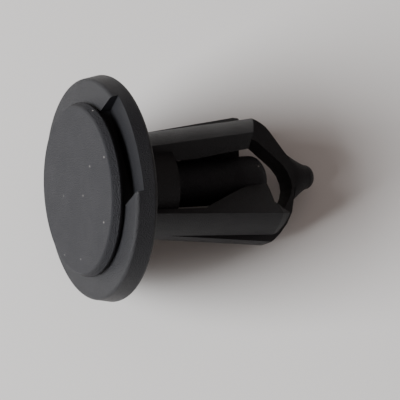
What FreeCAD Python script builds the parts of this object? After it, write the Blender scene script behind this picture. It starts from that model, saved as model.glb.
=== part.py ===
import FreeCAD, Part
import math
import os

# A plastic push rivet in two moulded pieces, lying on its side as in the photograph.
# It is built upright first: the axis is Z, Z = 0 is the flange's front face (the side that is
# seen once the rivet is fitted) and Z grows toward the nose. The near slot opens toward X.
# At the end both pieces are turned together into the pose in which the body comes to rest.
# All lengths are in millimetres and all angles in degrees.

# ---- flange and the pry notch in its face
FLANGE_D = 20.0
FLANGE_T = 1.9
RIM_DRAFT = 7.5               # slope of the rim, which widens from the face to the back
RIM_EDGE_R = 0.35             # rounding of the rim's two edges
RELIEF_D = 13.2               # shallow recess in the flange's back, round the fingers' roots
RELIEF_DEPTH = 0.25
NOTCH_ANGLE = -25.5           # direction of the notch, turned from the near slot
NOTCH_WIDTH = 9.0
NOTCH_LIP = 0.45              # depth of the notch's floor at the rim
NOTCH_DEPTH = 0.95            # depth of its floor beside the pin's head

# ---- barrel: a collar round the bore, then three fingers above and three below the near slot
BORE_D = 4.6                  # guides the pin through flange and collar
COLLAR_D = 8.2
COLLAR_END = 7.0
BARREL_D = 9.6                # across the fingers, just under the flange

# ---- middle finger of each three: half of a closed loop that carries the nose
LOOP_ANGLE = -99.0
LOOP_WIDTH = 2.2
LOOP_T = 1.45                 # thickness of its straight sides
LOOP_WALL = 0.85              # thickness of its sloping sides
KNEE_Z = 16.3
KNEE_D = 11.6
KNEE_BEND = 2.6               # radius of the bend outside the knee
RAMP_ANGLE = 60.0             # slope of the loop's end, from the axis
LOOP_END = 20.9
LOOP_FLOOR = 20.05            # inner side of the closed end
NOSE_TIP = 22.85
NOSE_D = 2.4
NOSE_BASE_D = 4.6

# ---- rib finger: stiff, grown together with the loop's side, cut off aslant
RIB_ANGLE = -66.0
RIB_WIDTH = 3.0
RIB_ROOT_T = 2.1
RIB_END_T = 1.85
RIB_END = 14.7                # where its side beside the near slot ends
RIB_SLANT = 1.5               # how much further its other side runs

# ---- spring finger: free, thin at its root, with a wedge inside that the pin pushes out
LEG_ANGLE = 48.0
LEG_WIDTH = 2.8
LEG_SLIT = 0.3                # between a spring finger and the loop beside it
LEG_ROOT_D = 9.8
LEG_END_D = 11.5
LEG_T = 0.85
LEG_END = 16.85
LIP_LENGTH = 0.6
LIP_HEIGHT = 0.4
WEDGE_START = 9.6             # where the inner side starts to thicken toward the pin
WEDGE_FULL = 14.8
WEDGE_GAP = 0.10              # between the pressed-in pin and the wedges

# ---- pin
HEAD_D = 15.3
HEAD_FACE_D = 14.7
HEAD_T = 1.15
HEAD_RIM = 0.8                # height of the head's widest line above the flange
HEAD_FOOT_D = 13.4
SHANK_D = 4.2
BULB_D = 4.5
BULB_START = 13.9
BULB_END = 16.4
PIN_END = 17.4

# ---- lying pose: the body rests on the rim and on two fingers, with the near slot upward
SLOT_UP_FROM = -60.0          # the upward direction is looked for between these two,
SLOT_UP_TO = 20.0             # turned from the near slot

AXIS = FreeCAD.Vector(0, 0, 1)
ORIGIN = FreeCAD.Vector(0, 0, 0)
ROOT_Z = FLANGE_T - RELIEF_DEPTH - 0.4    # fingers start inside the flange
BIG = FLANGE_D                # reaches well outside the barrel


def turned(points):
    """Solid of revolution round Z from (radius, z) points."""
    corners = [FreeCAD.Vector(r, 0, z) for r, z in points]
    face = Part.Face(Part.makePolygon(corners + [corners[0]]))
    return face.revolve(ORIGIN, AXIS, 360)


def plate(points, low, high, angle):
    """Flat plate from (z, distance) points, between two sideways limits, turned round Z."""
    corners = [FreeCAD.Vector(m, low, z) for z, m in points]
    face = Part.Face(Part.makePolygon(corners + [corners[0]]))
    solid = face.extrude(FreeCAD.Vector(0, high - low, 0))
    solid.rotate(ORIGIN, AXIS, angle)
    return solid


def arc(centre, radius, start, end, steps):
    """Points on an arc in a drawing plane, from one angle to another."""
    points = []
    for i in range(steps + 1):
        a = math.radians(start + (end - start) * i / steps)
        points.append((centre[0] + radius * math.cos(a), centre[1] + radius * math.sin(a)))
    return points


def both_sides(points):
    """An outline in (z, distance) closed by its mirror image across the axis."""
    return points + [(z, -m) for z, m in reversed(points)]


def cone(root_d, end_d, end_z, tail):
    """Solid that widens evenly from the flange to end_z; tail gives (radius, z) points after it."""
    root = root_d / 2
    return turned([(0, ROOT_Z), (root, ROOT_Z), (root, FLANGE_T), (end_d / 2, end_z)] + tail)


def rim_points():
    """(radius, z) points round the flange's outer edge, from its face to its back."""
    e = RIM_EDGE_R
    back_r = FLANGE_D / 2
    face_r = back_r - FLANGE_T * math.tan(math.radians(RIM_DRAFT))
    rim = arc((face_r - e, e), e, -90, 0, 4)
    return rim + arc((back_r - e, FLANGE_T - e), e, 0, 90, 4)


def flange():
    disc = turned([(0, 0)] + rim_points() + [(0, FLANGE_T)])
    relief = turned([(0, FLANGE_T - RELIEF_DEPTH), (RELIEF_D / 2, FLANGE_T - RELIEF_DEPTH),
                     (RELIEF_D / 2 + RELIEF_DEPTH, FLANGE_T + 1), (0, FLANGE_T + 1)])
    inner = HEAD_FOOT_D / 2 - 0.9
    far = FLANGE_D / 2 + 1
    slope = (NOTCH_DEPTH - NOTCH_LIP) / (FLANGE_D / 2 - inner)
    floor_out = NOTCH_LIP - slope * (far - FLANGE_D / 2)
    scoop = [(-1, inner), (NOTCH_DEPTH, inner + 0.3), (floor_out, far), (-1, far)]
    half = NOTCH_WIDTH / 2
    return disc.cut(relief).cut(plate(scoop, -half, half, NOTCH_ANGLE))


def loop_outside():
    """(z, distance) points of the loop's outer side, from knee to end."""
    centre = (KNEE_Z, KNEE_D / 2 - KNEE_BEND)
    bend = arc(centre, KNEE_BEND, 90, 90 - RAMP_ANGLE, 6)
    z, m = bend[-1]
    run = LOOP_END - 0.3 - z
    return bend + [(z + run, m - run * math.tan(math.radians(RAMP_ANGLE)))]


def loop():
    """Two straight sides that run down beside the pin and meet in one closed end."""
    half = LOOP_WIDTH / 2
    back = cone(BARREL_D, KNEE_D, KNEE_Z, [(KNEE_D / 2, LOOP_END + 1), (0, LOOP_END + 1)])
    outside = loop_outside()
    end_m = outside[-1][1]
    outline = [(ROOT_Z, BIG), (KNEE_Z, BIG)] + outside + [(LOOP_END, end_m * 0.5)]
    solid = plate(both_sides(outline), -half, half, 0).common(back)
    ramp = math.radians(RAMP_ANGLE)
    bend_z, bend_m = outside[-2]
    start_z = bend_z - LOOP_WALL * math.sin(ramp)
    start_m = bend_m - LOOP_WALL * math.cos(ramp)
    floor_m = start_m - (LOOP_FLOOR - 0.2 - start_z) * math.tan(ramp)
    corner = start_m * 0.66
    corner_z = start_z + (start_m - corner) / math.tan(ramp)
    inside = [(COLLAR_END - 1, BARREL_D / 2 - LOOP_T), (KNEE_Z + 0.4, KNEE_D / 2 - LOOP_T - 0.6),
              (corner_z, corner), (LOOP_FLOOR - 0.2, floor_m), (LOOP_FLOOR, floor_m * 0.5)]
    solid = solid.cut(plate(both_sides(inside), -half - 1, half + 1, 0))
    solid.rotate(ORIGIN, AXIS, LOOP_ANGLE)
    return solid


def nose():
    base = NOSE_BASE_D / 2
    tip = NOSE_D / 2
    z = LOOP_END - 0.85
    dome = arc((tip - 0.75, NOSE_TIP - 0.75), 0.75, 0, 90, 5)
    return turned([(0, z), (base, z), (base * 0.83, z + 0.4), (base * 0.68, z + 0.9),
                   (tip * 1.08, z + 1.55)] + dome + [(0, NOSE_TIP)])


def rib():
    """Stiff finger between the near slot and the loop; its end runs aslant across its width."""
    half = RIB_WIDTH / 2
    end = RIB_END + RIB_SLANT
    back = cone(BARREL_D, KNEE_D, KNEE_Z, [(0, KNEE_Z)])
    outline = [(ROOT_Z, BIG), (end, BIG), (end, KNEE_D / 2 - RIB_END_T),
               (ROOT_Z, BARREL_D / 2 - RIB_ROOT_T)]
    finger = plate(outline, -half, half, 0).common(back)
    corners = [(half, RIB_END), (half + 1, RIB_END), (half + 1, end + 1), (-half - 1, end + 1), (-half, end)]
    face = Part.Face(Part.makePolygon([FreeCAD.Vector(0, y, z) for y, z in corners + corners[:1]]))
    finger = finger.cut(face.extrude(FreeCAD.Vector(BIG, 0, 0)))
    finger.rotate(ORIGIN, AXIS, RIB_ANGLE)
    return finger


def spring_finger():
    """Free finger: thin at the root, a wedge inside and a small lip outside at its end."""
    half = LEG_WIDTH / 2
    root_r = LEG_ROOT_D / 2
    end_r = LEG_END_D / 2
    flare = (end_r - root_r) / (LEG_END - FLANGE_T)
    lip_z = LEG_END + LIP_LENGTH
    lip_r = end_r + LIP_HEIGHT
    back = cone(LEG_ROOT_D, LEG_END_D, LEG_END, [(lip_r, lip_z), (lip_r - 0.5, lip_z + 0.25), (0, lip_z + 0.25)])
    inner = BULB_D / 2 - 0.6
    start = root_r + flare * (WEDGE_START - FLANGE_T) - LEG_T
    outline = [(ROOT_Z, BIG), (lip_z + 0.25, BIG), (lip_z, end_r - 0.1),
               (LEG_END - 0.35, end_r - 1.8), (LEG_END - 0.25, end_r - 3.0), (LEG_END + 0.1, inner),
               (WEDGE_FULL, inner + 0.1), (WEDGE_START + 1.0, start - 0.6), (WEDGE_START, start),
               (COLLAR_END, root_r - LEG_T + 0.1), (ROOT_Z, root_r - LEG_T - 0.2)]
    finger = plate(outline, -half - 1, half, 0).common(back)
    finger.rotate(ORIGIN, AXIS, LEG_ANGLE)
    room = LOOP_WIDTH / 2 + LEG_SLIT
    beside = plate([(FLANGE_T, -BIG), (LOOP_END, -BIG), (LOOP_END, BIG), (FLANGE_T, BIG)],
                   -room, room, LOOP_ANGLE)
    return finger.cut(beside)


def body():
    collar_r = COLLAR_D / 2
    collar = turned([(0, ROOT_Z), (collar_r, ROOT_Z), (collar_r, COLLAR_END), (0, COLLAR_END)])
    solid = flange().fuse(collar).fuse(loop()).fuse(nose())
    for turn in (0, 180):
        for finger in (rib(), spring_finger()):
            finger.rotate(ORIGIN, AXIS, turn)
            solid = solid.fuse(finger)
    bore = turned([(0, -1), (BORE_D / 2, -1), (BORE_D / 2, COLLAR_END + 0.5), (0, COLLAR_END + 0.5)])
    pin_room = BULB_D / 2 + WEDGE_GAP
    seat = turned([(0, COLLAR_END + 0.5), (pin_room, COLLAR_END + 0.5),
                   (pin_room, PIN_END + 0.2), (0, PIN_END + 0.2)])
    return solid.cut(bore).cut(seat).removeSplitter()


def pin():
    face_r = HEAD_FACE_D / 2
    rim_r = HEAD_D / 2
    foot_r = HEAD_FOOT_D / 2
    shank = SHANK_D / 2
    bulb = BULB_D / 2
    end = [(bulb * x, BULB_END + (PIN_END - BULB_END) * y) for x, y in arc((0, 0), 1, 0, 75, 5)]
    return turned([(0, -HEAD_T), (face_r - 0.25, -HEAD_T), (face_r, -HEAD_T + 0.1), (rim_r, -HEAD_RIM),
                   (rim_r - 0.1, -HEAD_RIM + 0.3), (foot_r, 0), (shank, 0),
                   (shank, BULB_START - 0.5), (bulb, BULB_START)] + end + [(0, PIN_END)])


def tilt_at_rest(corners, down):
    """Slope of the axis when the rim and the fingers touch the ground in direction down."""
    slope = 0.3
    for _ in range(4):
        rim_r, rim_z = max(rim_points(), key=lambda p: p[0] + p[1] * slope)
        slope = min((rim_r - r * math.cos(math.radians(a - down))) / (z - rim_z) for r, a, z in corners)
    return slope


def resting_pose(solid):
    """(upward direction, tilt) in which two fingers and the rim touch flat ground."""
    corners = []
    for vertex in solid.Vertexes:
        x, y, z = vertex.Point
        if z > FLANGE_T + 1:
            corners.append((math.hypot(x, y), math.degrees(math.atan2(y, x)), z))
    steps = int((SLOT_UP_TO - SLOT_UP_FROM) * 10)
    ups = [SLOT_UP_FROM + i / 10 for i in range(steps + 1)]
    up = max(ups, key=lambda u: tilt_at_rest(corners, u + 180))
    return up, math.degrees(math.atan(tilt_at_rest(corners, up + 180)))


def main():
    os.makedirs("parts", exist_ok=True)
    pieces = {"body": body(), "pin": pin()}
    up, tilt = resting_pose(pieces["body"])
    box = FreeCAD.BoundBox()
    for shape in pieces.values():
        shape.rotate(ORIGIN, AXIS, 180 - up)
        shape.rotate(ORIGIN, FreeCAD.Vector(0, 1, 0), 90 + tilt)
        box.add(shape.optimalBoundingBox(False))
    for name, shape in pieces.items():
        shape.translate(FreeCAD.Vector(-box.Center.x, -box.Center.y, -box.ZMin))
        shape.exportStep("parts/%s.step" % name)
    print("upward %.2f tilt %.4f" % (up, tilt))


main()
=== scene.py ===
import math

import bmesh
import bpy
from mathutils import Matrix, Vector


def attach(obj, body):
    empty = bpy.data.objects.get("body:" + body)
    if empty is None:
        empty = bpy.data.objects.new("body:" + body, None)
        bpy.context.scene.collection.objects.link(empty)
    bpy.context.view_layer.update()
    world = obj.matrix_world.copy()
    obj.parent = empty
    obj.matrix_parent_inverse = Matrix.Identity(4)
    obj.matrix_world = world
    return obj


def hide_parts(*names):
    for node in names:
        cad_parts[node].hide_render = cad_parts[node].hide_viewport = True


# Looks of a black plastic push rivet that lies on its side on a pale floor.
# The frame is in metres: X runs from the head toward the nose, Z is up.
# Both pieces are drawn upright in millimetres, round Z with the flange's face at Z = 0 and the
# nose up, and are then laid down by lie_down. Angles are in degrees, turned round Z from a
# direction in the near slot, the one that faces the camera.

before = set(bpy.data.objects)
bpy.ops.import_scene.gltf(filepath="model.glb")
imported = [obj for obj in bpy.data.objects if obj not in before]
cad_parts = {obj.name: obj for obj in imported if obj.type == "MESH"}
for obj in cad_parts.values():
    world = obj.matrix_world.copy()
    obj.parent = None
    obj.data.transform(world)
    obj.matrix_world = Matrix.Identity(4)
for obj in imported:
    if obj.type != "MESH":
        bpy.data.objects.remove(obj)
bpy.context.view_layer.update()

MM = 0.001

# Place of the upright drawing in the frame
LYING_TILT = 20.6141          # how far the nose points below level
LYING_UP = -23.9              # the upright direction that ends up on top
FACE_CENTRE = Vector((-9.0083, 0.0, 9.9277))

# Camera, which looks down on the near slot
CAMERA_AZIMUTH = -24.1        # turned from straight in front, toward the head
CAMERA_ELEVATION = 67.6
CAMERA_ROLL = 10.8
CAMERA_DISTANCE = 148.2 * MM
CAMERA_TARGET = Vector((0.55, -2.65, 8.80)) * MM
CAMERA_LENS_MM = 150.6        # on the usual 36 mm sensor
CAMERA_NEAR = 0.01
CAMERA_FAR = 10.0

# Studio light: one softbox in front of the head's face, and a faint warm sky
KEY_SIZE = 0.30
KEY_DISTANCE = 0.55
KEY_AZIMUTH = -86.0
KEY_ELEVATION = 28.0
KEY_POWER = 7.3
KEY_COLOUR = (1.0, 1.0, 1.0)
SKY_LIGHT = 0.24
SKY_COLOUR = (1.0, 0.84, 0.78, 1.0)
FLOOR_REACH = 3.0
FLOOR_COLOUR = (0.78, 0.78, 0.775, 1.0)
FLOOR_ROUGHNESS = 0.85

# Black plastic, the same kind on both pieces, with a coarser look on the pin
BODY_BLACK = (0.0125, 0.013, 0.0155, 1.0)
PIN_BLACK = (0.013, 0.0135, 0.017, 1.0)
BODY_ROUGHNESS = 0.44
PIN_ROUGHNESS = 0.50
PLASTIC_SHINE = 0.26
PLASTIC_IOR = 1.49
GRAINS_PER_METRE = 9000.0
BODY_GRAIN = 1.5
PIN_GRAIN = 3.0
GRAIN_STRENGTH = 0.7
GRAIN_HEIGHT = 0.1 * MM
PATCHES_PER_METRE = 420.0     # slow changes of the roughness
ROUGHNESS_SWING = 0.16
SPECKS_PER_METRE = 900.0
SPECK_EDGE = 0.10             # radius of a speck, as a share of the distance between specks
SPECK_CORE = 0.04
BODY_DUST = 0.10              # share of the places for specks that hold one
PIN_DUST = 0.32
DUST_COLOUR = (0.30, 0.29, 0.28, 1.0)

# Flange with its pry notch, in millimetres like all sizes from here on
FLANGE_D = 20.0
FLANGE_T = 1.9
RIM_DRAFT = 7.5
RIM_EDGE_R = 0.35
RELIEF_D = 13.2
RELIEF_DEPTH = 0.25
NOTCH_ANGLE = -25.5
NOTCH_WIDTH = 9.0
NOTCH_LIP = 0.45
NOTCH_DEPTH = 0.95
NOTCH_INNER = 5.8
NOTCH_WALL_LEAN = 0.3

# Collar with the bore, and the seat that clears the pin between the fingers
BORE_D = 4.6
BORE_PAST = 0.5               # how far the bore's cutter reaches past the collar
COLLAR_D = 8.2
COLLAR_END = 7.0
SEAT_D = 4.7
SEAT_OVERLAP = 0.1            # how far the seat's cutter reaches back into the bore's
SEAT_END = 17.7
ROOT_Z = 1.3                  # fingers and collar start inside the flange
WIDE = 20.0                   # reaches well outside the barrel
CUT_PAST = 1.0                # how far a cutter reaches past what it cuts

# Closed loop across the nose
LOOP_ANGLE = -99.0
LOOP_WIDTH = 2.2
LOOP_ROOT_R = 4.3
LOOP_KNEE_R = 5.66
LOOP_KNEE_Z = 16.4
LOOP_TOP = 21.2               # above all of the loop
LOOP_BEND = 0.32              # how far the pin has pushed the lower knee out
LOOP_BEND_START = 4.0         # what lies nearer to the axis than this is pushed out less
# (z, distance from the axis) of the loop's end, outside, from the upper knee to the lower one
LOOP_OUTSIDE = [(16.4, 5.72), (16.8, 5.6), (17.2, 5.42), (17.65, 5.15), (18.15, 4.75), (18.6, 4.15),
                (19.15, 3.3), (19.7, 2.45), (20.2, 1.75), (20.6, 1.15), (20.85, 0.5),
                (20.75, -0.1), (20.4, -1.0), (20.1, -2.0), (19.75, -3.05), (19.05, -4.0),
                (18.15, -4.9), (17.5, -5.4), (16.9, -5.75)]
# The same for its inner side
LOOP_INSIDE = [(6.5, 3.0), (16.3, 3.75), (17.0, 3.4), (17.6, 2.85), (18.2, 2.27), (18.9, 1.62),
               (19.4, 1.1), (19.85, 0.4), (20.08, -0.3), (20.1, -0.95), (19.85, -1.6), (19.4, -2.25),
               (18.6, -3.1), (17.6, -3.8), (16.3, -4.1), (6.5, -3.0)]

# Nose on the loop's end
NOSE_START = 20.55
NOSE_START_R = 2.2
NOSE_FLARE = 1.3              # how fast the flare of its base tapers
NOSE_NECK = 22.2              # and where it ends
NOSE_END = 22.95
NOSE_END_R = 1.15
NOSE_ROUND = 0.8
NOSE_FLAT = 0.5               # width of its base across the loop, as a share of the other way
NOSE_FLARE_STEPS = 14
NOSE_DOME_STEPS = 10

# Rib fingers, each grown together with one side of the loop
RIB_ANGLE = -66.0
RIB_WIDTH = 3.0
RIB_ROOT_R = 4.45
RIB_END_R = 5.72
RIB_END = 14.75
RIB_LEAN = 0.25               # its outer edge ends this much further on
RIB_SLANT = 1.5               # and its side at the loop this much further again
RIB_EDGE = 0.1                # the lean stops this far inside the outer side
RIB_END_INSIDE = 3.9          # inner side of the longer end
# (z, distance from the axis) of the rib's inner side, seen in the near slot
RIB_INSIDE = [(ROOT_Z, 2.45), (6.4, 2.84), (9.4, 3.05), (10.9, 3.25), (12.3, 3.48), (13.4, 3.62),
              (RIB_END, 3.8)]

# Free spring fingers, each with a wedge that meets the pin
SPRING_ANGLE = 48.0
SPRING_NEAR = -1.45           # its side in the near slot
SPRING_FAR = 1.5
SPRING_ROOT_R = 4.6
SPRING_END_R = 5.66
SPRING_END = 16.95            # its end tapers from here on
SPRING_TIP = 17.95
SPRING_TIP_R = 5.35
SPRING_NARROWING = 22.0       # lean of the end's side in the near slot
SPRING_SLANT = 0.5            # the far side ends this much earlier
SPRING_SLANT_START = 16.0     # the points past this one are the end
SPRING_SPREAD = 4.5           # how far the pin has bent the far finger out
# (z, distance from the axis) of the spring finger's inner side with its wedge, then of its end
SPRING_INSIDE = [(ROOT_Z, 3.9), (7.0, 4.15), (9.5, 4.25), (10.3, 3.85), (11.2, 3.45), (12.5, 2.85),
                 (13.8, 2.3), (14.65, 2.0), (16.85, 1.68), (16.75, 3.2), (16.65, 4.07), (17.25, 4.75),
                 (SPRING_TIP, 5.05)]
WEDGE_FAR = 3.1               # the wedge is lower on the far side
END_CUTTER_SIZE = 3.0

# Pin
HEAD_D = 15.3
HEAD_FACE_D = 14.9
HEAD_T = 1.15
HEAD_EDGE_R = 0.3
HEAD_DRAFT = 25.0             # lean of the head's side
HEAD_RIM = 0.5                # height of the head's widest line above the flange
HEAD_FOOT_R = 0.45
HEAD_FOOT_TURN = 60.0
HEAD_FOOT_D = 13.4
HEAD_GAP = 0.02               # air between the head and the flange
SHANK_D = 4.2
BULB_D = 4.5
BULB_NECK = 13.6
BULB_START = 14.6
BULB_END = 16.3
PIN_END = 17.65
PIN_DOME_STEPS = 9
FOOT_STEPS = 6

# Finish of the meshes
EDGE_STEPS = 8
LATHE_STEPS = 144
BEVEL = 0.09                  # rounding of every moulded edge
BEVEL_SEGMENTS = 2
BEVEL_FROM = 32.0             # edges blunter than this stay as they are
SMOOTH_BELOW = 13.0           # edges blunter than this are shaded smooth
MERGE_DISTANCE = 0.004
FLAT_BELOW = 0.5              # faces that differ less than this are made one


def compass(azimuth, elevation):
    """Unit vector toward a place round the rivet; azimuth 0 is straight in front, at -Y."""
    a = math.radians(azimuth)
    e = math.radians(elevation)
    return Vector((math.sin(a) * math.cos(e), -math.cos(a) * math.cos(e), math.sin(e)))


# Materials

def new_material(name):
    """Empty material with a Principled shader wired to its output."""
    material = bpy.data.materials.new(name)
    material.use_nodes = True
    nodes = material.node_tree.nodes
    nodes.clear()
    shader = nodes.new("ShaderNodeBsdfPrincipled")
    output = nodes.new("ShaderNodeOutputMaterial")
    material.node_tree.links.new(shader.outputs["BSDF"], output.inputs["Surface"])
    return material, shader


def add_node(tree, kind, **settings):
    """New node with its properties and, for names that are sockets, their values set."""
    node = tree.nodes.new(kind)
    for name, value in settings.items():
        if hasattr(node, name):
            setattr(node, name, value)
        else:
            node.inputs[name.replace("_", " ")].default_value = value
    return node


def new_group(name, inputs, outputs):
    """Empty shader group; inputs are (name, type, default) and outputs (name, type)."""
    group = bpy.data.node_groups.new(name, "ShaderNodeTree")
    for label, kind, default in inputs:
        socket = group.interface.new_socket(label, in_out="INPUT", socket_type=kind)
        socket.default_value = default
    for label, kind in outputs:
        group.interface.new_socket(label, in_out="OUTPUT", socket_type=kind)
    start = group.nodes.new("NodeGroupInput")
    end = group.nodes.new("NodeGroupOutput")
    return group, start, end


def grain_group():
    """Fine moulded grain over the surface, and slow changes of its roughness."""
    group, start, end = new_group(
        "moulded_grain",
        [("Grains per metre", "NodeSocketFloat", GRAINS_PER_METRE), ("Depth", "NodeSocketFloat", 1.0)],
        [("Height", "NodeSocketFloat"), ("Roughness shift", "NodeSocketFloat")])
    link = group.links.new
    place = add_node(group, "ShaderNodeTexCoord")
    fine = add_node(group, "ShaderNodeTexNoise", Detail=3.0, Roughness=0.6)
    slow = add_node(group, "ShaderNodeTexNoise", Scale=PATCHES_PER_METRE, Detail=2.0)
    depth = add_node(group, "ShaderNodeMath", operation="MULTIPLY")
    shift = add_node(group, "ShaderNodeMath", operation="MULTIPLY_ADD")
    shift.inputs[1].default_value = ROUGHNESS_SWING
    shift.inputs[2].default_value = -ROUGHNESS_SWING / 2
    link(place.outputs["Object"], fine.inputs["Vector"])
    link(place.outputs["Object"], slow.inputs["Vector"])
    link(start.outputs["Grains per metre"], fine.inputs["Scale"])
    link(fine.outputs["Fac"], depth.inputs[0])
    link(start.outputs["Depth"], depth.inputs[1])
    link(slow.outputs["Fac"], shift.inputs[0])
    link(depth.outputs[0], end.inputs["Height"])
    link(shift.outputs[0], end.inputs["Roughness shift"])
    return group


def dust_group():
    """A few pale specks of dust."""
    group, start, end = new_group(
        "dust_specks",
        [("Specks per metre", "NodeSocketFloat", SPECKS_PER_METRE), ("Amount", "NodeSocketFloat", 0.3)],
        [("Mask", "NodeSocketFloat")])
    link = group.links.new
    place = add_node(group, "ShaderNodeTexCoord")
    cells = add_node(group, "ShaderNodeTexVoronoi", feature="F1")
    speck = add_node(group, "ShaderNodeMapRange")
    speck.inputs["From Min"].default_value = SPECK_EDGE
    speck.inputs["From Max"].default_value = SPECK_CORE
    chance = add_node(group, "ShaderNodeSeparateColor")
    chosen = add_node(group, "ShaderNodeMath", operation="LESS_THAN")
    both = add_node(group, "ShaderNodeMath", operation="MULTIPLY")
    link(place.outputs["Object"], cells.inputs["Vector"])
    link(start.outputs["Specks per metre"], cells.inputs["Scale"])
    link(cells.outputs["Distance"], speck.inputs["Value"])
    link(cells.outputs["Color"], chance.inputs["Color"])
    link(chance.outputs["Red"], chosen.inputs[0])
    link(start.outputs["Amount"], chosen.inputs[1])
    link(speck.outputs["Result"], both.inputs[0])
    link(chosen.outputs[0], both.inputs[1])
    link(both.outputs[0], end.inputs["Mask"])
    return group


GRAIN = grain_group()
DUST = dust_group()


def black_plastic(name, colour, roughness, grain_depth, dust_amount):
    """Semi-matte moulded plastic with grain and a little dust."""
    material, shader = new_material(name)
    tree = material.node_tree
    link = tree.links.new
    grain = add_node(tree, "ShaderNodeGroup", node_tree=GRAIN)
    grain.inputs["Depth"].default_value = grain_depth
    dust = add_node(tree, "ShaderNodeGroup", node_tree=DUST)
    dust.inputs["Amount"].default_value = dust_amount
    bump = add_node(tree, "ShaderNodeBump", Strength=GRAIN_STRENGTH, Distance=GRAIN_HEIGHT)
    rough = add_node(tree, "ShaderNodeMath", operation="ADD")
    rough.inputs[1].default_value = roughness
    dusty = add_node(tree, "ShaderNodeMix", data_type="RGBA")
    dusty.inputs[6].default_value = colour
    dusty.inputs[7].default_value = DUST_COLOUR
    shader.inputs["Specular IOR Level"].default_value = PLASTIC_SHINE
    shader.inputs["IOR"].default_value = PLASTIC_IOR
    link(grain.outputs["Height"], bump.inputs["Height"])
    link(bump.outputs["Normal"], shader.inputs["Normal"])
    link(grain.outputs["Roughness shift"], rough.inputs[0])
    link(rough.outputs[0], shader.inputs["Roughness"])
    link(dust.outputs["Mask"], dusty.inputs[0])
    link(dusty.outputs[2], shader.inputs["Base Color"])
    return material


BODY_PLASTIC = black_plastic("body_plastic", BODY_BLACK, BODY_ROUGHNESS, BODY_GRAIN, BODY_DUST)
PIN_PLASTIC = black_plastic("pin_plastic", PIN_BLACK, PIN_ROUGHNESS, PIN_GRAIN, PIN_DUST)


# Mesh helpers, all in the upright drawing in millimetres

def turned_by(angle, axis="Z"):
    return Matrix.Rotation(math.radians(angle), 4, axis)


def solid_from(bm, name):
    """Scratch object from a closed bmesh, with its faces turned outward."""
    bmesh.ops.recalc_face_normals(bm, faces=bm.faces)
    mesh = bpy.data.meshes.new(name)
    bm.to_mesh(mesh)
    bm.free()
    piece = bpy.data.objects.new(name, mesh)
    bpy.context.scene.collection.objects.link(piece)
    return piece


def lathe(name, points):
    """Solid of revolution round Z from (radius, z) points; the first and last lie on the axis."""
    bm = bmesh.new()
    turns = [2 * math.pi * i / LATHE_STEPS for i in range(LATHE_STEPS)]
    rings = []
    for radius, z in points:
        if radius == 0:
            rings.append([bm.verts.new((0, 0, z))])
        else:
            rings.append([bm.verts.new((radius * math.cos(t), radius * math.sin(t), z)) for t in turns])
    for one, two in zip(rings, rings[1:]):
        for i in range(LATHE_STEPS):
            j = (i + 1) % LATHE_STEPS
            corners = [one[i % len(one)], one[j % len(one)], two[j % len(two)], two[i % len(two)]]
            kept = list(dict.fromkeys(corners))
            if len(kept) > 2:
                bm.faces.new(kept)
    return solid_from(bm, name)


def rod(name, diameter, low, high):
    radius = diameter / 2
    return lathe(name, [(0, low), (radius, low), (radius, high), (0, high)])


def plate(name, low_points, low, high, angle, high_points=None):
    """Plate between two sideways limits, from (z, distance) points, turned round Z."""
    bm = bmesh.new()
    turn = Matrix.Rotation(math.radians(angle), 3, "Z")
    sides = []
    for points, y in ((low_points, low), (high_points or low_points, high)):
        sides.append([bm.verts.new(turn @ Vector((distance, y, z))) for z, distance in points])
    count = len(low_points)
    bm.faces.new(sides[0])
    bm.faces.new(sides[1][::-1])
    for i in range(count):
        j = (i + 1) % count
        bm.faces.new([sides[0][j], sides[0][i], sides[1][i], sides[1][j]])
    return solid_from(bm, name)


def combined(base, steps):
    """The base object after boolean steps of (operation, object); the scratch objects go."""
    for operation, other in steps:
        step = base.modifiers.new(operation, "BOOLEAN")
        step.operation = operation
        step.solver = "EXACT"
        step.object = other
    bpy.context.view_layer.update()
    graph = bpy.context.evaluated_depsgraph_get()
    mesh = bpy.data.meshes.new_from_object(base.evaluated_get(graph))
    for other in [base] + [step[1] for step in steps]:
        bpy.data.objects.remove(other)
    piece = bpy.data.objects.new("combined", mesh)
    bpy.context.scene.collection.objects.link(piece)
    return piece


def arc(centre, radius, start, end, steps):
    """Points on an arc in a drawing plane, from one angle to another."""
    turns = [math.radians(start + (end - start) * i / steps) for i in range(steps + 1)]
    return [(centre[0] + radius * math.cos(t), centre[1] + radius * math.sin(t)) for t in turns]


def cone(root_r, end_r, end_z, tail):
    """Solid that widens from the flange to end_z; tail gives (radius, z) points after it."""
    slope = (end_r - root_r) / (end_z - FLANGE_T)
    start = root_r - slope * (FLANGE_T - ROOT_Z)
    return lathe("cone", [(0, ROOT_Z), (start, ROOT_Z), (end_r, end_z)] + tail)


def clamped(value):
    return min(max(value, 0), 1)


# Features of the body

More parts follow.
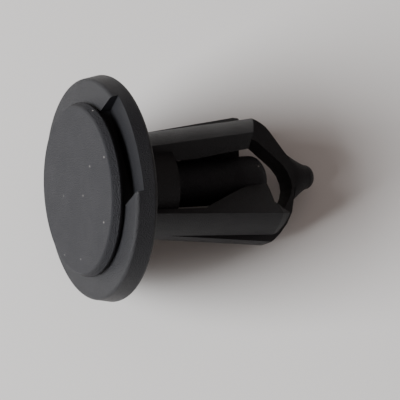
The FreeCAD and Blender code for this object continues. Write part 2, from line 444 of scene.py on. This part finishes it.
def flange():
    """Disc with a draughted, rounded rim, a shallow recess in its back and the pry notch."""
    edge = RIM_EDGE_R
    back_r = FLANGE_D / 2
    face_r = back_r - FLANGE_T * math.tan(math.radians(RIM_DRAFT))
    relief_z = FLANGE_T - RELIEF_DEPTH
    relief_r = RELIEF_D / 2
    rim = arc((face_r - edge, edge), edge, -90, 0, EDGE_STEPS)
    rim += arc((back_r - edge, FLANGE_T - edge), edge, 0, 90, EDGE_STEPS)
    recess = [(relief_r + RELIEF_DEPTH, FLANGE_T), (relief_r, relief_z), (0, relief_z)]
    slope = (NOTCH_DEPTH - NOTCH_LIP) / (back_r - NOTCH_INNER)
    far = back_r + CUT_PAST
    floor_out = NOTCH_LIP - slope * CUT_PAST
    scoop = [(-CUT_PAST, NOTCH_INNER), (NOTCH_DEPTH, NOTCH_INNER + NOTCH_WALL_LEAN)]
    scoop += [(floor_out, far), (-CUT_PAST, far)]
    half = NOTCH_WIDTH / 2
    notch = plate("notch", scoop, -half, half, NOTCH_ANGLE)
    return combined(lathe("flange", [(0, 0)] + rim + recess), [("DIFFERENCE", notch)])


def loop():
    """Band from the flange out to the upper knee, over the nose and back by the lower knee."""
    half = LOOP_WIDTH / 2
    last_z = LOOP_OUTSIDE[-1][0]
    outline = [(ROOT_Z, WIDE), (LOOP_KNEE_Z, WIDE)] + LOOP_OUTSIDE + [(last_z, -WIDE), (ROOT_Z, -WIDE)]
    whole = plate("loop", outline, -half, half, LOOP_ANGLE)
    slope = (LOOP_KNEE_R - LOOP_ROOT_R) / (LOOP_KNEE_Z - FLANGE_T)
    top_r = LOOP_KNEE_R + slope * (LOOP_TOP - LOOP_KNEE_Z)
    limit = cone(LOOP_ROOT_R, top_r, LOOP_TOP, [(0, LOOP_TOP)])
    window = plate("window", LOOP_INSIDE, -half - CUT_PAST, half + CUT_PAST, LOOP_ANGLE)
    piece = combined(whole, [("INTERSECT", limit), ("DIFFERENCE", window)])
    outward = Matrix.Rotation(math.radians(LOOP_ANGLE), 3, "Z") @ Vector((-1, 0, 0))
    for point in piece.data.vertices:
        beside = clamped(point.co.dot(outward) / LOOP_BEND_START)
        along = max((point.co.z - FLANGE_T) / (LOOP_KNEE_Z - FLANGE_T), 0)
        point.co += outward * (LOOP_BEND * beside * along)
    return piece


def nose():
    """Rounded tip on a flared base, which is only as wide as the loop the other way."""
    flare = []
    for i in range(NOSE_FLARE_STEPS):
        part = i / NOSE_FLARE_STEPS
        radius = NOSE_END_R + (NOSE_START_R - NOSE_END_R) * (1 - part) ** NOSE_FLARE
        flare.append((radius, NOSE_START + (NOSE_NECK - NOSE_START) * part))
    dome = arc((NOSE_END_R - NOSE_ROUND, NOSE_END - NOSE_ROUND), NOSE_ROUND, 0, 90, NOSE_DOME_STEPS)
    piece = lathe("nose", [(0, NOSE_START)] + flare + dome + [(0, NOSE_END)])
    for point in piece.data.vertices:
        part = clamped((NOSE_NECK - point.co.z) / (NOSE_NECK - NOSE_START))
        point.co.y *= 1 + (NOSE_FLAT - 1) * part
    piece.data.transform(turned_by(LOOP_ANGLE))
    return piece


def rib(turn):
    """Stiff finger between a slot and the loop; its end runs aslant across its width."""
    half = RIB_WIDTH / 2
    near_end = RIB_END + RIB_LEAN
    far_end = near_end + RIB_SLANT
    lean_r = RIB_END_R - RIB_EDGE
    near = RIB_INSIDE + [(near_end, lean_r), (near_end, WIDE), (ROOT_Z, WIDE)]
    far = RIB_INSIDE[:-1] + [(far_end, RIB_END_INSIDE), (far_end, lean_r), (far_end, WIDE), (ROOT_Z, WIDE)]
    stave = plate("rib", far, -half, half, RIB_ANGLE + turn, near)
    return combined(stave, [("INTERSECT", cone(RIB_ROOT_R, RIB_END_R, far_end, [(0, far_end)]))])


def end_cutter():
    """Block that takes a slice off the spring finger's end, on its side in the near slot."""
    size = END_CUTTER_SIZE
    block = plate("end_cutter", [(0, 0), (size, 0), (size, WIDE), (0, WIDE)], -size, 0, 0)
    place = turned_by(SPRING_ANGLE) @ Matrix.Translation((0, SPRING_NEAR, SPRING_END))
    block.data.transform(place @ turned_by(-SPRING_NARROWING, "X"))
    return block


def spring_finger(turn, spread):
    """Free finger with a wedge; its end tapers and runs aslant across its width."""
    near = SPRING_INSIDE + [(SPRING_TIP, WIDE), (ROOT_Z, WIDE)]
    far = []
    for z, distance in near:
        back = SPRING_SLANT if z > SPRING_SLANT_START else 0
        far.append((z - back, max(distance, WEDGE_FAR)))
    stave = plate("spring", near, SPRING_NEAR, SPRING_FAR, SPRING_ANGLE, far)
    limit = cone(SPRING_ROOT_R, SPRING_END_R, SPRING_END, [(SPRING_TIP_R, SPRING_TIP), (0, SPRING_TIP)])
    finger = combined(stave, [("INTERSECT", limit), ("DIFFERENCE", end_cutter())])
    root = turned_by(SPRING_ANGLE) @ Matrix.Translation((SPRING_ROOT_R, 0, ROOT_Z))
    bend = root @ turned_by(spread, "Y") @ root.inverted()
    finger.data.transform(turned_by(turn) @ bend)
    return finger


# The two pieces

def lie_down(piece):
    """Moves an upright drawing to its place in the frame, in the mesh itself."""
    turn = turned_by(90 + LYING_TILT, "Y") @ turned_by(180 - LYING_UP)
    piece.data.transform(Matrix.Scale(MM, 4) @ Matrix.Translation(FACE_CENTRE) @ turn)


def make_body():
    """Flange, collar, loop, nose and fingers in one mesh, bored for the pin."""
    steps = [("UNION", rod("collar", COLLAR_D, ROOT_Z, COLLAR_END)), ("UNION", loop()), ("UNION", nose())]
    for turn, spread in ((0, 0), (180, SPRING_SPREAD)):
        steps += [("UNION", rib(turn)), ("UNION", spring_finger(turn, spread))]
    bore_end = COLLAR_END + BORE_PAST
    steps.append(("DIFFERENCE", rod("bore", BORE_D, -CUT_PAST, bore_end)))
    steps.append(("DIFFERENCE", rod("seat", SEAT_D, bore_end - SEAT_OVERLAP, SEAT_END)))
    piece = combined(flange(), steps)
    piece.name = "moulded_body"
    lie_down(piece)
    bm = bmesh.new()
    bm.from_mesh(piece.data)
    bmesh.ops.remove_doubles(bm, verts=bm.verts, dist=MERGE_DISTANCE * MM)
    bmesh.ops.dissolve_limit(bm, angle_limit=math.radians(FLAT_BELOW), verts=bm.verts, edges=bm.edges)
    bm.to_mesh(piece.data)
    bm.free()
    return piece


def make_pin():
    """Flat head with a draughted rim, a shank and a thicker, domed end, turned in one."""
    face_r = HEAD_FACE_D / 2
    rim_r = HEAD_D / 2
    shank_r = SHANK_D / 2
    bulb_r = BULB_D / 2
    rim = arc((face_r - HEAD_EDGE_R, -HEAD_T + HEAD_EDGE_R), HEAD_EDGE_R, -90, -HEAD_DRAFT, EDGE_STEPS)
    foot = arc((rim_r - HEAD_FOOT_R, -HEAD_RIM), HEAD_FOOT_R, 0, HEAD_FOOT_TURN, FOOT_STEPS)
    foot.append((HEAD_FOOT_D / 2, -HEAD_GAP))
    shank = [(shank_r, -HEAD_GAP), (shank_r, BULB_NECK), (bulb_r, BULB_START)]
    dome = []
    for i in range(PIN_DOME_STEPS):
        turn = math.radians(90 * i / PIN_DOME_STEPS)
        dome.append((bulb_r * math.cos(turn), BULB_END + (PIN_END - BULB_END) * math.sin(turn)))
    piece = lathe("drive_pin_turned", [(0, -HEAD_T)] + rim + foot + shank + dome + [(0, PIN_END)])
    lie_down(piece)
    return piece


def soften(piece, width, material):
    """Rounded edges, smooth rounds and one finish."""
    bevel = piece.modifiers.new("moulded_edges", "BEVEL")
    bevel.width = width * MM
    bevel.segments = BEVEL_SEGMENTS
    bevel.limit_method = "ANGLE"
    bevel.angle_limit = math.radians(BEVEL_FROM)
    bevel.harden_normals = True
    for face in piece.data.polygons:
        face.use_smooth = True
    piece.data.set_sharp_from_angle(angle=math.radians(SMOOTH_BELOW))
    piece.data.materials.clear()
    piece.data.materials.append(material)


body = make_body()
soften(body, BEVEL, BODY_PLASTIC)
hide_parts("body")
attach(body, "barrel")

pin = make_pin()
soften(pin, BEVEL, PIN_PLASTIC)
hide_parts("pin")
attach(pin, "drive_pin")


# Floor, light and camera

def make_floor():
    half = FLOOR_REACH / 2
    mesh = bpy.data.meshes.new("floor")
    corners = [(-half, -half, 0), (half, -half, 0), (half, half, 0), (-half, half, 0)]
    mesh.from_pydata(corners, [], [(0, 1, 2, 3)])
    floor = bpy.data.objects.new("floor", mesh)
    bpy.context.scene.collection.objects.link(floor)
    material, shader = new_material("pale_floor")
    shader.inputs["Base Color"].default_value = FLOOR_COLOUR
    shader.inputs["Roughness"].default_value = FLOOR_ROUGHNESS
    mesh.materials.append(material)


def make_key_light():
    light = bpy.data.lights.new("key_softbox", "AREA")
    light.size = KEY_SIZE
    light.energy = KEY_POWER
    light.color = KEY_COLOUR
    holder = bpy.data.objects.new("key_softbox", light)
    toward = compass(KEY_AZIMUTH, KEY_ELEVATION)
    holder.location = toward * KEY_DISTANCE
    holder.rotation_euler = toward.to_track_quat("Z", "Y").to_euler()
    bpy.context.scene.collection.objects.link(holder)


def make_sky():
    world = bpy.data.worlds.new("studio")
    world.use_nodes = True
    background = world.node_tree.nodes["Background"]
    background.inputs["Color"].default_value = SKY_COLOUR
    background.inputs["Strength"].default_value = SKY_LIGHT
    bpy.context.scene.world = world


def make_camera():
    data = bpy.data.cameras.new("camera")
    data.lens = CAMERA_LENS_MM
    data.clip_start = CAMERA_NEAR
    data.clip_end = CAMERA_FAR
    camera = bpy.data.objects.new("camera", data)
    back = compass(CAMERA_AZIMUTH, CAMERA_ELEVATION)
    level = back.to_track_quat("Z", "Y").to_matrix()
    roll = Matrix.Rotation(math.radians(CAMERA_ROLL), 3, "Z")
    camera.rotation_euler = (level @ roll).to_euler()
    camera.location = CAMERA_TARGET + back * CAMERA_DISTANCE
    bpy.context.scene.collection.objects.link(camera)
    bpy.context.scene.camera = camera


make_floor()
make_key_light()
make_sky()
make_camera()
